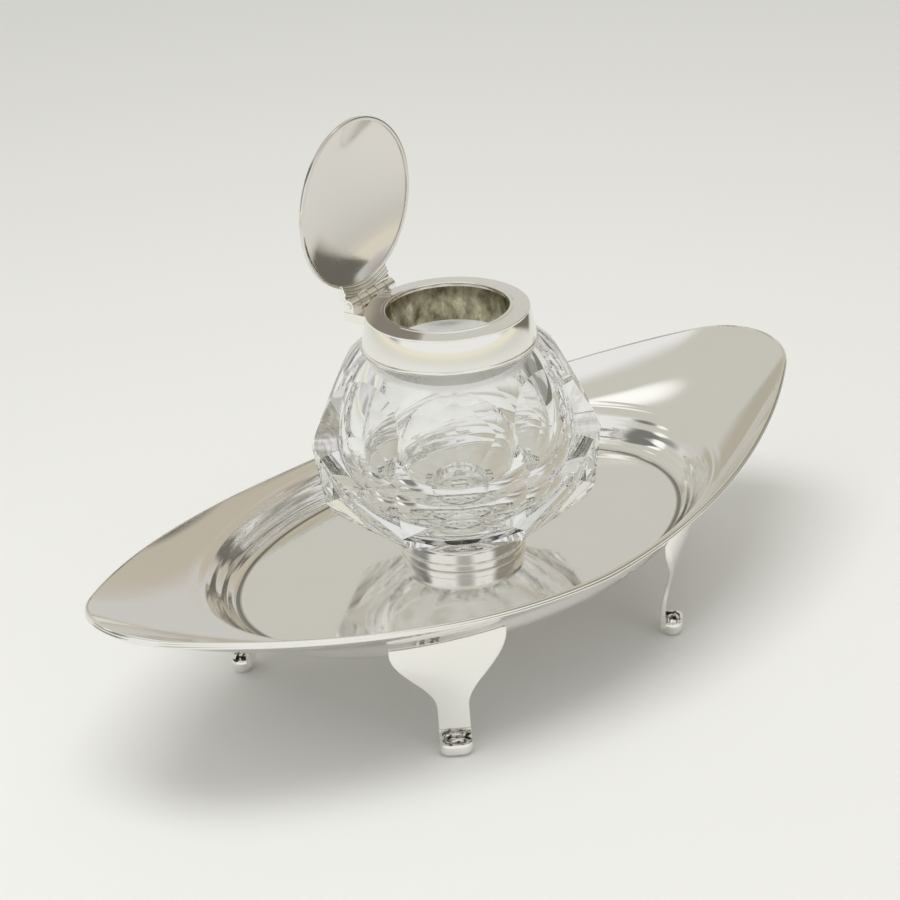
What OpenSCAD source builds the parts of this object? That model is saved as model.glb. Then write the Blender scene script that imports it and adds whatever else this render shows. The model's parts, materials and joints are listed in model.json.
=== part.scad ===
// Desk inkstand: a boat-shaped silver tray on four strap legs carries a cut-glass
// inkwell with a silver collar and a hinged lid, which stands open.
// Origin on the ground under the middle of the tray, +X along the tray, +Z up.

/* [Tray] */
// Length of the tray over its tips
tray_length = 220; // [190:1:250]
// Width of the tray across its middle
tray_width = 103.2; // [98:0.2:116]
// Radius of the rounded tips, seen from above
tip_r = 21; // [14:0.5:28]
// Length of the flat floor
floor_length = 129.6; // [120:0.4:138]
// Width of the flat floor
floor_width = 85.6; // [80:0.4:90]
// Length of the crease where wall turns into rim
crease_length = 152; // [144:0.5:164]
// Width of the crease across the middle
crease_width = 99; // [94:0.2:101]
// Height of the crease above the floor
wall_rise = 8; // [5:0.25:11]
// Rise of the rim from the crease to its edge, at the middle
side_rise = 1.25; // [0.5:0.25:3]
// Extra rise of the edge at the tips
tip_rise = 12.3; // [6:0.1:18]
// Thickness of the silver sheet
sheet = 1.1; // [0.8:0.1:1.5]
// Radius of the half-round edge wire
wire_r = 0.75; // [0.5:0.05:1.2]

/* [Gallery ring] */
// Wall of the ring that holds the bottle
ring_wall = 0.9; // [0.6:0.1:1.4]
// Height of the bead at the ring's foot
ring_bead_h = 2; // [1.2:0.1:3]
// Height of the plain band above the bead
ring_band_h = 3.15; // [2:0.05:5]
// Room between the ring and the globe above it
ring_room = 0.4; // [0.3:0.1:1.5]
// How far the bead stands out past the band
ring_bead_out = 0.6; // [0.3:0.1:1.2]
// Clearance round the foot of the bottle
ring_clear = 0.3; // [0.2:0.05:0.8]

/* [Legs] */
// Height of the tray's underside above the ground
tray_lift = 28.65; // [24:0.25:36]
// Width of a leg where it meets the tray
leg_top_w = 27.2; // [20:0.2:32]
// Width of a leg at its ankle
ankle_w = 7.8; // [6:0.1:9.6]
// Thickness of the leg strap
strap = 1.2; // [0.8:0.1:1.6]
// Height at which the leg meets its toe
ankle_h = 6; // [5:0.1:8]
// Outer radius of the scooped toe
toe_r = 2.75; // [2.4:0.05:3.4]
// Width of the toe
toe_w = 8.5; // [7.8:0.1:11]
// Wall of the toe
toe_wall = 0.7; // [0.5:0.05:0.9]
// How much the toe is ground flat below
toe_flat = 0.15; // [0.05:0.05:0.4]

/* [Glass inkwell] */
// Radius of the globe before it is cut
globe_r = 37; // [34:0.25:39]
// Number of large cuts round the globe
cuts = 7; // [6:1:9]
// Depth of the large upper cuts
upper_cut = 3.4; // [2.5:0.1:4.2]
// Depth of the cuts round the middle, two to each large one
middle_cut = 2.8; // [2:0.1:3.6]
// Depth of the lower cuts
lower_cut = 5.9; // [4.5:0.1:6.6]
// Depth of the cuts towards the foot
foot_cut = 12.3; // [11.8:0.1:13]
// Radius of the foot
foot_r = 13.9; // [13.2:0.1:15]
// Radius of the hollow inside, at its widest
hollow_r = 23; // [20:0.25:25]
// Glass left under the hollow
hollow_floor = 14.5; // [12:0.25:17]
// Outer radius of the neck inside the collar
neck_r = 18.3; // [17.6:0.1:18.6]

/* [Collar and lid] */
// Outer radius of the collar at its foot
collar_low_r = 21.7; // [21.2:0.05:22.4]
// Outer radius of the collar at its top
collar_top_r = 20.2; // [19.9:0.05:20.8]
// Height of the collar
collar_h = 8.9; // [7.5:0.1:11]
// Wall of the collar and thickness of its top plate
collar_wall = 0.8; // [0.6:0.05:1]
// Radius of the mouth
mouth_r = 15.2; // [14:0.1:16]
// Wall of the liner in the mouth
liner_wall = 0.6; // [0.4:0.05:0.8]
// Depth of the liner below the top plate
liner_h = 9; // [6:0.25:11]
// Radius of the lid
lid_r = 21.5; // [21:0.1:22.2]
// Rise of the domed lid above its rim
lid_rise = 3.5; // [2:0.1:5]
// Thickness of the lid
lid_wall = 0.8; // [0.6:0.05:1]
// Height of the lid's flat rim
lid_rim_h = 1; // [0.9:0.05:1.4]
// Width of the lid's flat rim, seen from inside
lid_rim_w = 1; // [0.6:0.1:2]
// Gap between the closed lid and the collar
lid_gap = 0.4; // [0.35:0.05:0.6]

/* [Hinge] */
// Width of the hinge along its pin
hinge_w = 17.5; // [14:0.1:19]
// Distance from the collar's top edge out to the pin
hinge_out = 3.7; // [3.4:0.05:4.2]
// Depth of the pin below the collar's top
hinge_drop = 1.35; // [1.1:0.05:1.6]
// Outer radius of the knuckles
knuckle_r = 1.5; // [1.2:0.05:1.6]
// Radius of the pin
pin_r = 0.75; // [0.5:0.05:0.85]
// Angle to which the lid is open
lid_open = 90; // [60:1:95]

/* [Hidden] */
$fn = 96;

silver = [0.86, 0.85, 0.82];
tarnish = [0.45, 0.42, 0.33];
clear_glass = [0.85, 0.9, 0.9, 0.35];
plaster = [0.8, 0.77, 0.68];

// Soldered and cemented joints keep this hair of room, running fits the pin's clearance
joint_gap = 0.03;
pin_clear = 0.03;
knuckle_gap = 0.2;
seat_gap = 0.1;
big = 120;

floor_z = tray_lift + sheet;
foot_z = floor_z + seat_gap;

// Tray outline: two long arcs, joined by an arc round each tip
half_l = tray_length / 2;
half_w = tray_width / 2;
side_r = (half_l * half_l + half_w * half_w - 2 * half_l * tip_r) / (2 * (half_w - tip_r));
tip_from = side_r * (half_l - tip_r) / (side_r - tip_r);
rise_power = 1.65;
rim_flare = 0.45;

// Steps of the tray's surface: round it, up its wall and out over its rim
round_steps = 96;
wall_steps = 7;
rim_steps = 5;
band_steps = wall_steps + rim_steps;

function smooth(a) = let (b = min(1, max(0, a))) b * b * (3 - 2 * b);
function unit(v) = v / norm(v);
function mix(a, b, k) = a + (b - a) * k;

function outline_y(x) = let (a = abs(x))
    a <= tip_from
        ? sqrt(side_r * side_r - a * a) - (side_r - half_w)
        : sqrt(max(0, tip_r * tip_r - pow(a - (half_l - tip_r), 2)));
function floor_at(t) = [floor_length / 2 * cos(t), floor_width / 2 * sin(t)];
function crease_at(t) = [crease_length / 2 * cos(t), crease_width / 2 * sin(t)];
function edge_at(t) = let (x = half_l * cos(t)) [x, outline_y(x) * (sin(t) < 0 ? -1 : 1)];
function edge_rise(t) = side_rise + tip_rise * pow(abs(cos(t)), rise_power);

// Slope of the rim where it leaves the crease, for a wall that runs into it smoothly
function crease_slope(t) = edge_rise(t) * (1 - rim_flare) / norm(edge_at(t) - crease_at(t));
function wall_run(t) = norm(crease_at(t) - floor_at(t));
function wall_z(t, s) = wall_rise * s * s * (3 - 2 * s)
    + crease_slope(t) * wall_run(t) * (s * s * s - s * s);
function wall_slope(t, s) = 6 * wall_rise * s * (1 - s) / wall_run(t)
    + crease_slope(t) * (3 * s * s - 2 * s);
function rim_z(t, u) = wall_rise + edge_rise(t) * ((1 - rim_flare) * u + rim_flare * u * u);
function rim_slope(t, u) = edge_rise(t) * (1 - rim_flare + 2 * rim_flare * u)
    / norm(edge_at(t) - crease_at(t));

// Points of the upper and the lower face, s up the wall or u out over the rim
function face_point(plan, out, slope, z, under) = let (a = atan(slope))
    under
        ? [plan.x + out.x * sheet * sin(a), plan.y + out.y * sheet * sin(a),
            floor_z + z - sheet * cos(a)]
        : [plan.x, plan.y, floor_z + z];
function wall_point(t, s, under) = face_point(
    mix(floor_at(t), crease_at(t), s), unit(crease_at(t) - floor_at(t)),
    wall_slope(t, s), wall_z(t, s), under);
function rim_point(t, u, under) = face_point(
    mix(crease_at(t), edge_at(t), u), unit(edge_at(t) - crease_at(t)),
    rim_slope(t, u), rim_z(t, u), under);
function tray_point(t, i, under) = i <= wall_steps
    ? wall_point(t, i / wall_steps, under)
    : rim_point(t, (i - wall_steps) / rim_steps, under);

// Faces of a strip between two rows of n points each, closed round
function strip(a, b, n) = [for (i = [0 : n - 1]) let (j = (i + 1) % n)
    each [[a + i, a + j, b + i], [a + j, b + j, b + i]]];

module tray() {
    n = round_steps;
    rows = band_steps + 1;
    upper = [for (i = [0 : band_steps]) for (k = [0 : n - 1])
        tray_point(360 * k / n, i, false)];
    lower = [for (i = [0 : band_steps]) for (k = [0 : n - 1])
        tray_point(360 * k / n, i, true)];
    low0 = rows * n;
    faces = concat(
        [for (i = [0 : band_steps - 1]) each strip(i * n, (i + 1) * n, n)],
        [for (i = [0 : band_steps - 1]) each strip(low0 + (i + 1) * n, low0 + i * n, n)],
        strip(band_steps * n, low0 + band_steps * n, n),
        [[for (k = [n - 1 : -1 : 0]) k]],
        [[for (k = [0 : n - 1]) low0 + k]]);
    color(silver)
        polyhedron(concat(upper, lower), faces);
}

// Half-round wire along the edge: its inner side is the edge of the sheet itself
wire_turns = 5;
wire_proud = 0.3;
function edge_out(t) = unit([half_w * cos(t), half_l * sin(t)]);
function wire_section(t) = let (
    a = rim_point(t, 1, false),
    b = rim_point(t, 1, true),
    c = (a + b) / 2,
    o = edge_out(t),
    high = (a.z - b.z) / 2 + wire_proud)
    concat([a],
        [for (i = [0 : wire_turns - 1]) let (g = 90 - 180 * i / (wire_turns - 1))
            [c.x + (b.x - a.x) / 2 * -sin(g) + o.x * wire_r * cos(g),
                c.y + (b.y - a.y) / 2 * -sin(g) + o.y * wire_r * cos(g),
                c.z + high * sin(g)]],
        [b]);

module tray_edge_wire() {
    n = round_steps;
    m = wire_turns + 2;
    sections = [for (k = [0 : n - 1]) wire_section(360 * k / n)];
    points = [for (i = [0 : m - 1]) for (k = [0 : n - 1]) sections[k][i]];
    faces = concat(
        [for (i = [0 : m - 2]) each strip(i * n, (i + 1) * n, n)],
        [for (f = strip(0, (m - 1) * n, n)) [f[2], f[1], f[0]]]);
    color(silver)
        polyhedron(points, faces);
}

// Gallery ring: a bead on the floor of the tray, and a plain band up to under the globe
ring_in = foot_r + ring_clear;
ring_out = ring_in + ring_wall;
globe_low = floor_z + ring_bead_h + ring_band_h + ring_room;

module ring_foot_bead() {
    color(silver)
        translate([0, 0, floor_z])
            rotate_extrude() {
                translate([ring_in, 0])
                    square([ring_wall, ring_bead_h]);
                translate([ring_out, 0])
                    square([ring_bead_out / 2, ring_bead_h]);
                intersection() {
                    translate([ring_out + ring_bead_out - ring_bead_h / 2, ring_bead_h / 2])
                        circle(d = ring_bead_h, $fn = 48);
                    translate([ring_out, 0])
                        square([ring_bead_out + ring_bead_h, ring_bead_h]);
                }
            }
}

module ring_band() {
    color(silver)
        translate([0, 0, floor_z + ring_bead_h])
            rotate_extrude()
                translate([ring_in, 0])
                    square([ring_wall, ring_band_h]);
}

// Each hand-set leg has its own place for the toe, and its top follows the wall above it
toe_spots = [[-38.3, -36.4], [40.5, -33], [-45.5, 36], [42, 34]];
toe_turn = 50;
leg_rows = 14;
leg_columns = 12;
leg_hug = 0.34;
toe_z = toe_r - toe_flat;

function toe_dir(spot) = [cos(toe_turn) * sign(spot.x), sin(toe_turn) * sign(spot.y)];
function leg_angle(spot) = atan2(spot.y / floor_width, spot.x / floor_length);
function across(d) = [-d.y, d.x];

// Half the leg's width, k running from 0 at the tray to 1 at the ankle
ogee_from = 0.05;
ogee_run = 0.7;
function leg_half(k) = mix(leg_top_w, ankle_w, smooth((k - ogee_from) / ogee_run)) / 2;

// The strap's inner face, x across it: at the top it lies along the tray's wall
function wall_here(spot, x, depth) = let (
    t = leg_angle(spot),
    speed = norm([floor_length / 2 * sin(t), floor_width / 2 * cos(t)]),
    a = t + x / speed * 180 / PI,
    s = leg_hug + depth / wall_run(a),
    p = wall_point(a, s, true),
    o = unit(crease_at(a) - floor_at(a)))
    [p.x + o.x * joint_gap * 2, p.y + o.y * joint_gap * 2, p.z - joint_gap * 2];
function ankle_here(spot, x, depth) = let (d = toe_dir(spot), c = across(d))
    [spot.x - d.x * (toe_r - depth) + c.x * x, spot.y - d.y * (toe_r - depth) + c.y * x, ankle_h];
function leg_point(spot, u, k, depth) = let (
    x = u * leg_half(k),
    top = wall_here(spot, x, depth),
    low = ankle_here(spot, x, depth))
    [mix(top.x, low.x, smooth(k)), mix(top.y, low.y, smooth(k)), mix(top.z, low.z, k)];

module leg(spot) {
    m = leg_columns + 1;
    count = (leg_rows + 1) * m;
    grid = [for (depth = [0, strap]) for (r = [0 : leg_rows]) for (c = [0 : leg_columns])
        leg_point(spot, 2 * c / leg_columns - 1, r / leg_rows, depth)];
    // A loop round the four edges joins the inner and the outer face
    loop = concat(
        [for (c = [0 : leg_columns - 1]) c],
        [for (r = [0 : leg_rows - 1]) r * m + leg_columns],
        [for (c = [leg_columns : -1 : 1]) leg_rows * m + c],
        [for (r = [leg_rows : -1 : 1]) r * m]);
    skin = [for (r = [0 : leg_rows - 1]) for (c = [0 : leg_columns - 1])
        let (a = r * m + c) each [[a, a + 1, a + m], [a + 1, a + m + 1, a + m]]];
    faces = concat(
        skin,
        [for (f = skin) [f[2] + count, f[1] + count, f[0] + count]],
        [for (i = [0 : len(loop) - 1]) let (a = loop[i], b = loop[(i + 1) % len(loop)])
            each [[a, a + count, b], [b, a + count, b + count]]]);
    color(silver)
        polyhedron(grid, faces);
}

// Scooped toe: a hollow capsule, cut open above its middle, with the ankle plate on its
// inner side
module capsule(r, reach) {
    rotate([90, 0, 0])
        cylinder(r = r, h = 2 * reach, center = true, $fn = 48);
    for (side = [-1, 1])
        translate([0, side * reach, 0])
            sphere(r = r, $fn = 48);
}

toe_lip = 24;

module toe(spot) {
    reach = toe_w / 2 - toe_r;
    turn = atan2(toe_dir(spot).y, toe_dir(spot).x);
    color(silver)
        translate([spot.x, spot.y, toe_z])
            rotate([0, 0, turn])
                difference() {
                    union() {
                        capsule(toe_r, reach);
                        translate([-toe_r, -ankle_w / 2, 0])
                            cube([strap, ankle_w, ankle_h - toe_z]);
                    }
                    capsule(toe_r - toe_wall, reach);
                    translate([-toe_r + strap, -toe_w, toe_r * sin(toe_lip)])
                        cube([3 * toe_r, 2 * toe_w, 3 * toe_r]);
                    translate([-2 * toe_r, -toe_w, ankle_h - toe_z])
                        cube([4 * toe_r, 2 * toe_w, 3 * toe_r]);
                    translate([-2 * toe_r, -toe_w, -2 * toe_r - toe_z])
                        cube([4 * toe_r, 2 * toe_w, 2 * toe_r]);
                }
}

// Glass globe: a sphere cut flat in rows, on a plain round foot, with a neck above.
// The foot cuts clear the ring's outer edge, which sets the height of the globe's centre.
upper_tilt = 21.5;
middle_tilt = -8;
lower_tilt = -28;
foot_tilt = -59.5;
facet_turn = 229.6;
foot_edge = ring_out * cos(180 / cuts) * cos(foot_tilt);
globe_z = globe_low - (globe_r - foot_cut - foot_edge) / sin(foot_tilt);
shoulder_z = globe_z + sqrt(globe_r * globe_r - pow(collar_low_r + 0.2, 2));
collar_z = shoulder_z + collar_h;
plate_z = collar_z - collar_wall;

module cut_row(count, tilt, depth, offset) {
    for (i = [0 : count - 1])
        rotate([0, 0, facet_turn + (i + offset) * 360 / count])
            rotate([0, -tilt, 0])
                translate([globe_r - depth, -big / 2, -big / 2])
                    cube([big / 2, big, big]);
}

foot_lap = 1.5;

// Hollow: a small flat floor, round sides, and shoulders that run up to the bore
hollow_mid = globe_z + 3.5;
hollow_high = 27;
hollow_steps = 24;
flat_angle = 72.4;
bore_r = mouth_r + liner_wall + joint_gap;

module hollow() {
    depth = hollow_mid - foot_z - hollow_floor;
    translate([0, 0, hollow_mid])
        rotate_extrude()
            polygon(concat(
                [[0, hollow_high * sin(acos(bore_r / hollow_r))], [0, -depth]],
                [for (i = [0 : hollow_steps])
                    let (a = mix(-flat_angle, acos(bore_r / hollow_r), i / hollow_steps))
                    [hollow_r * cos(a), (a < 0 ? depth / sin(flat_angle) : hollow_high) * sin(a)]]));
    translate([0, 0, hollow_mid])
        cylinder(r = bore_r, h = big);
}

module glass_well() {
    color(clear_glass)
        difference() {
            union() {
                translate([0, 0, globe_z])
                    difference() {
                        sphere(r = globe_r);
                        translate([-big / 2, -big / 2, shoulder_z - globe_z])
                            cube([big, big, big]);
                        translate([-big / 2, -big / 2, globe_low - foot_lap - globe_z - big])
                            cube([big, big, big]);
                        cut_row(cuts, upper_tilt, upper_cut, 0);
                        cut_row(2 * cuts, middle_tilt, middle_cut, 0.5);
                        cut_row(cuts, lower_tilt, lower_cut, 0);
                        cut_row(cuts, foot_tilt, foot_cut, 0);
                    }
                translate([0, 0, foot_z])
                    cylinder(r = foot_r, h = globe_low + foot_lap - foot_z);
                translate([0, 0, shoulder_z - 1])
                    cylinder(r = neck_r, h = plate_z - joint_gap - shoulder_z + 1);
            }
            hollow();
        }
}

// Collar: a bead on the glass shoulder, a tapered band, a top plate and a liner
bead_h = 1;
bead_in = neck_r + 1;
band_z = shoulder_z + bead_h;
band_h = plate_z - band_z;

module collar_cone(in) {
    translate([0, 0, band_z])
        cylinder(r1 = collar_low_r - 0.2 - in, r2 = collar_top_r - in, h = band_h);
}

module collar_foot_bead() {
    color(silver)
        translate([0, 0, shoulder_z])
            rotate_extrude() {
                translate([bead_in, 0])
                    square([collar_low_r - bead_h / 2 - bead_in, bead_h]);
                translate([collar_low_r - bead_h / 2, bead_h / 2])
                    circle(d = bead_h, $fn = 32);
            }
}

module collar_band() {
    color(silver)
        difference() {
            collar_cone(0);
            collar_cone(collar_wall);
        }
}

lip_r = 0.5;
lip_proud = 0.25;

module collar_top_plate() {
    color(silver)
        translate([0, 0, plate_z])
            rotate_extrude() {
                translate([mouth_r, 0])
                    square([collar_top_r - mouth_r, collar_wall]);
                translate([mouth_r + lip_r, collar_wall + lip_proud - lip_r])
                    circle(r = lip_r, $fn = 32);
            }
}

module neck_cement() {
    color(plaster)
        difference() {
            collar_cone(collar_wall + joint_gap);
            translate([0, 0, band_z - 1])
                cylinder(r = neck_r + joint_gap, h = band_h + 2);
            translate([-big / 2, -big / 2, plate_z - joint_gap])
                cube([big, big, big]);
        }
}

module collar_liner() {
    color(tarnish)
        translate([0, 0, plate_z - liner_h])
            difference() {
                cylinder(r = mouth_r + liner_wall, h = liner_h);
                translate([0, 0, -1])
                    cylinder(r = mouth_r, h = liner_h + 2);
            }
}

// Hinge: its frame has X out from the collar, Y along the pin and the pin at the origin
hinge_turn = 101.6;
hinge_x = collar_top_r + hinge_out;
hinge_z = collar_z - hinge_drop;
knuckles = 5;
pitch = hinge_w / knuckles;
block_h = 2.4;
block_top = -knuckle_r - knuckle_gap;
block_out = knuckle_r;

module at_hinge() {
    rotate([0, 0, hinge_turn])
        translate([hinge_x, 0, hinge_z])
            children();
}

module along_pin(r, length) {
    rotate([90, 0, 0])
        cylinder(r = r, h = length, center = true, $fn = 48);
}

// One knuckle in every second place, first 0 or 1, with its web up or down
module knuckle_row(first, web_z, web_x) {
    for (i = [first : 2 : knuckles - 1])
        translate([0, (i + 0.5) * pitch - hinge_w / 2, 0]) {
            along_pin(knuckle_r, pitch - knuckle_gap);
            translate([min(0, web_x), -(pitch - knuckle_gap) / 2, min(0, web_z)])
                cube([abs(web_x), pitch - knuckle_gap, abs(web_z)]);
        }
}

module hinge_block() {
    color(silver)
        difference() {
            at_hinge()
                difference() {
                    union() {
                        translate([-hinge_out - 2, -hinge_w / 2, block_top - block_h])
                            cube([hinge_out + 2 + block_out, hinge_w, block_h]);
                        knuckle_row(0, block_top - 0.5, -knuckle_r);
                        knuckle_row(0, block_top - 0.5, knuckle_r);
                    }
                    along_pin(pin_r + joint_gap / 3, hinge_w + 2);
                }
            translate([0, 0, band_z - bead_h])
                cylinder(r = collar_low_r - 0.2 + joint_gap, h = bead_h);
            collar_cone(-joint_gap);
        }
}

pin_end = 0.3;

module hinge_pin() {
    color(silver)
        at_hinge()
            along_pin(pin_r, hinge_w + 2 * pin_end);
}

// Turns the closed lid about the pin to where it stands open
module opened() {
    at_hinge()
        rotate([0, lid_open, 0])
            translate([-hinge_x, 0, -hinge_z])
                rotate([0, 0, -hinge_turn])
                    children();
}

lid_z = collar_z + lid_gap;
dome_r = (lid_r * lid_r + lid_rise * lid_rise) / (2 * lid_rise);

module lid() {
    color(silver)
        opened()
            difference() {
                intersection() {
                    translate([0, 0, lid_z])
                        cylinder(r = lid_r, h = lid_rim_h + lid_rise + 1);
                    translate([0, 0, lid_z + lid_rim_h + lid_rise - dome_r])
                        sphere(r = dome_r, $fn = 180);
                }
                intersection() {
                    translate([0, 0, lid_z - 1])
                        cylinder(r = lid_r - lid_rim_w, h = lid_rise + 3);
                    translate([0, 0, lid_z + lid_rim_h + lid_rise - dome_r])
                        sphere(r = dome_r - lid_wall, $fn = 180);
                }
            }
}

// Lid side of the hinge: ridges that follow the lid's rim, and two knuckles
ridge_r = 0.5;
ridge_step = 0.75;
lug_reach = 0.6;
lug_clear = 0.2;

module lid_hinge_lug() {
    inside = collar_top_r + 0.5;
    color(silver)
        opened()
            difference() {
                union() {
                    intersection() {
                        translate([0, 0, lid_z])
                            rotate_extrude() {
                                for (i = [0 : 2])
                                    translate([inside + ridge_r + i * ridge_step, -i * ridge_step / 2])
                                        circle(r = ridge_r, $fn = 32);
                                polygon([[inside + ridge_r, 0], [inside + ridge_r, lid_rim_h],
                                    [hinge_x + lug_reach, lid_rim_h],
                                    [hinge_x + lug_reach, -2 * ridge_step],
                                    [inside + ridge_r + 2 * ridge_step, -ridge_step]]);
                            }
                        rotate([0, 0, hinge_turn])
                            translate([0, -hinge_w / 2, 0])
                                cube([big, hinge_w, 2 * big]);
                        }
                    at_hinge()
                        knuckle_row(1, lid_z + lid_rim_h - hinge_z, lug_reach);
                }
                difference() {
                    at_hinge()
                        along_pin(knuckle_r + lug_clear, hinge_w + 2);
                    at_hinge()
                        knuckle_row(1, lid_z + lid_rim_h - hinge_z, lug_reach);
                }
                at_hinge()
                    along_pin(pin_r + pin_clear, hinge_w + 4);
                translate([0, 0, lid_z])
                    cylinder(r = lid_r + joint_gap / 3, h = lid_rim_h + lid_rise);
            }
}

tray();
tray_edge_wire();
ring_foot_bead();
ring_band();
leg(toe_spots[0]);  // leg_front_left
leg(toe_spots[1]);  // leg_front_right
leg(toe_spots[2]);  // leg_back_left
leg(toe_spots[3]);  // leg_back_right
toe(toe_spots[0]);  // toe_front_left
toe(toe_spots[1]);  // toe_front_right
toe(toe_spots[2]);  // toe_back_left
toe(toe_spots[3]);  // toe_back_right
glass_well();
neck_cement();
collar_foot_bead();
collar_band();
collar_top_plate();
collar_liner();
hinge_block();
hinge_pin();
lid();
lid_hinge_lug();
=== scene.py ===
import itertools
import json
import math

import bmesh
import bpy
from mathutils import Matrix, Vector


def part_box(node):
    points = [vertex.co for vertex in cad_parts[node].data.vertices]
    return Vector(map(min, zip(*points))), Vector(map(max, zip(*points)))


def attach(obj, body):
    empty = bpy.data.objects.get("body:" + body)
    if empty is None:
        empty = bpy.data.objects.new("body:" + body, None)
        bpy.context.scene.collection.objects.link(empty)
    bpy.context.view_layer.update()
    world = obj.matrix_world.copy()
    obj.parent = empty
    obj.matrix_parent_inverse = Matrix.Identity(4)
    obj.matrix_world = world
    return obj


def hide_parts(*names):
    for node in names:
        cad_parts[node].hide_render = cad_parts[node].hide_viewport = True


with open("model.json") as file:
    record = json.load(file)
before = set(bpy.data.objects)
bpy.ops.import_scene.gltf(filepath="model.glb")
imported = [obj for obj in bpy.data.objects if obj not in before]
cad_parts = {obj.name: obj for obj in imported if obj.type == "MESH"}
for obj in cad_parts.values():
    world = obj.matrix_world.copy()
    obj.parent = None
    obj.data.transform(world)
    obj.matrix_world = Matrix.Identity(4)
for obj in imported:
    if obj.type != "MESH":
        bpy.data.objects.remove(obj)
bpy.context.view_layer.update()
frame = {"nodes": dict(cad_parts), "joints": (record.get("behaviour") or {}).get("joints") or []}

# Sizes are in millimetres, as in the part's own source, and become metres in add_mesh
MM = 0.001
TAU = 2 * math.pi
# Radius of the bore in the glass neck
BORE_R = 15.83
# Half the length and width of the tray's flat floor
FLOOR = (64.8, 42.8)


def low_of(node):
    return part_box(node)[0] / MM


def high_of(node):
    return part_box(node)[1] / MM


def direction(azimuth, elevation):
    """From the part towards a place round it; azimuth 0 is in front, on the -Y side."""
    flat = math.cos(elevation)
    return Vector((math.sin(azimuth) * flat, -math.cos(azimuth) * flat, math.sin(elevation)))


# Camera at the photograph's viewing angle
CAMERA_AZIMUTH = math.radians(-40.83)
CAMERA_ELEVATION = math.radians(25.24)
CAMERA_ROLL = math.radians(-3.97)
CAMERA_DISTANCE = 793.69
CAMERA_ASIDE = -1.75
CAMERA_HEIGHT = 56.18
SENSOR = 36.0
LENS = 127.59


def make_camera():
    back = direction(CAMERA_AZIMUTH, CAMERA_ELEVATION)
    right = Vector((math.cos(CAMERA_AZIMUTH), math.sin(CAMERA_AZIMUTH), 0))
    up = back.cross(right)
    turned_right = right * math.cos(CAMERA_ROLL) + up * math.sin(CAMERA_ROLL)
    turned_up = up * math.cos(CAMERA_ROLL) - right * math.sin(CAMERA_ROLL)
    target = right * CAMERA_ASIDE + Vector((0, 0, CAMERA_HEIGHT))
    data = bpy.data.cameras.new("camera")
    data.sensor_width = SENSOR
    data.lens = LENS
    data.clip_start = 0.01
    data.clip_end = 50
    camera = bpy.data.objects.new("camera", data)
    axes = Matrix((turned_right, turned_up, back)).transposed()
    camera.matrix_world = Matrix.Translation((target + back * CAMERA_DISTANCE) * MM) @ axes.to_4x4()
    bpy.context.collection.objects.link(camera)
    bpy.context.scene.camera = camera


# Small tools for materials

def new_material(name):
    material = bpy.data.materials.new(name)
    material.use_nodes = True
    tree = material.node_tree
    shader = next(n for n in tree.nodes if n.type == "BSDF_PRINCIPLED")
    return material, tree, shader


def add_node(tree, kind, **settings):
    """Adds a node; settings that start with in_ name one of its inputs."""
    node = tree.nodes.new(kind)
    for key, value in settings.items():
        if key.startswith("in_"):
            node.inputs[key[3:].replace("_", " ")].default_value = value
        else:
            setattr(node, key, value)
    return node


def object_places(tree, scale=(1, 1, 1), turn=(0, 0, 0)):
    """The object's own coordinates in metres, scaled and turned."""
    places = add_node(tree, "ShaderNodeTexCoord")
    mapping = add_node(tree, "ShaderNodeMapping", in_Scale=scale, in_Rotation=turn)
    tree.links.new(places.outputs["Object"], mapping.inputs["Vector"])
    return mapping.outputs["Vector"]


def ramp_between(tree, source, low, high, from_min=0.0, from_max=1.0):
    node = add_node(
        tree, "ShaderNodeMapRange", in_From_Min=from_min, in_From_Max=from_max, in_To_Min=low, in_To_Max=high)
    tree.links.new(source, node.inputs["Value"])
    return node.outputs["Result"]


def work_out(tree, operation, first, second):
    """Arithmetic on a socket and either a second socket or a number."""
    node = add_node(tree, "ShaderNodeMath", operation=operation)
    tree.links.new(first, node.inputs[0])
    if isinstance(second, float):
        node.inputs[1].default_value = second
    else:
        tree.links.new(second, node.inputs[1])
    return node.outputs[0]


def length_of(tree, vector):
    node = add_node(tree, "ShaderNodeVectorMath", operation="LENGTH")
    tree.links.new(vector, node.inputs[0])
    return node.outputs["Value"]


def along(tree, vector, aim):
    """How far a vector reaches along a fixed direction."""
    node = add_node(tree, "ShaderNodeVectorMath", operation="DOT_PRODUCT")
    tree.links.new(vector, node.inputs[0])
    node.inputs[1].default_value = aim
    return node.outputs["Value"]


def split(tree, vector):
    node = add_node(tree, "ShaderNodeSeparateXYZ")
    tree.links.new(vector, node.inputs[0])
    return node.outputs["X"], node.outputs["Y"], node.outputs["Z"]


def flat_vector(tree, x, y):
    node = add_node(tree, "ShaderNodeCombineXYZ")
    tree.links.new(x, node.inputs["X"])
    tree.links.new(y, node.inputs["Y"])
    return node.outputs[0]


def mix_colours(tree, share, first, second):
    """A blend of two colours, each a socket or its red, green and blue."""
    node = add_node(tree, "ShaderNodeMix", data_type="RGBA")
    tree.links.new(share, node.inputs["Factor"])
    for name, colour in (("A", first), ("B", second)):
        if isinstance(colour, tuple):
            node.inputs[name].default_value = (*colour, 1)
        else:
            tree.links.new(colour, node.inputs[name])
    return node.outputs["Result"]


def colour_ramp(tree, source, stops):
    """Colours at given places along a value, in rising order."""
    node = add_node(tree, "ShaderNodeValToRGB")
    elements = node.color_ramp.elements
    for element, (place, colour) in zip((elements[0], elements[1]), (stops[0], stops[-1])):
        element.position = place
        element.color = (*colour, 1)
    for place, colour in stops[1:-1]:
        elements.new(place).color = (*colour, 1)
    tree.links.new(source, node.inputs["Fac"])
    return node.outputs["Color"]


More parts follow.
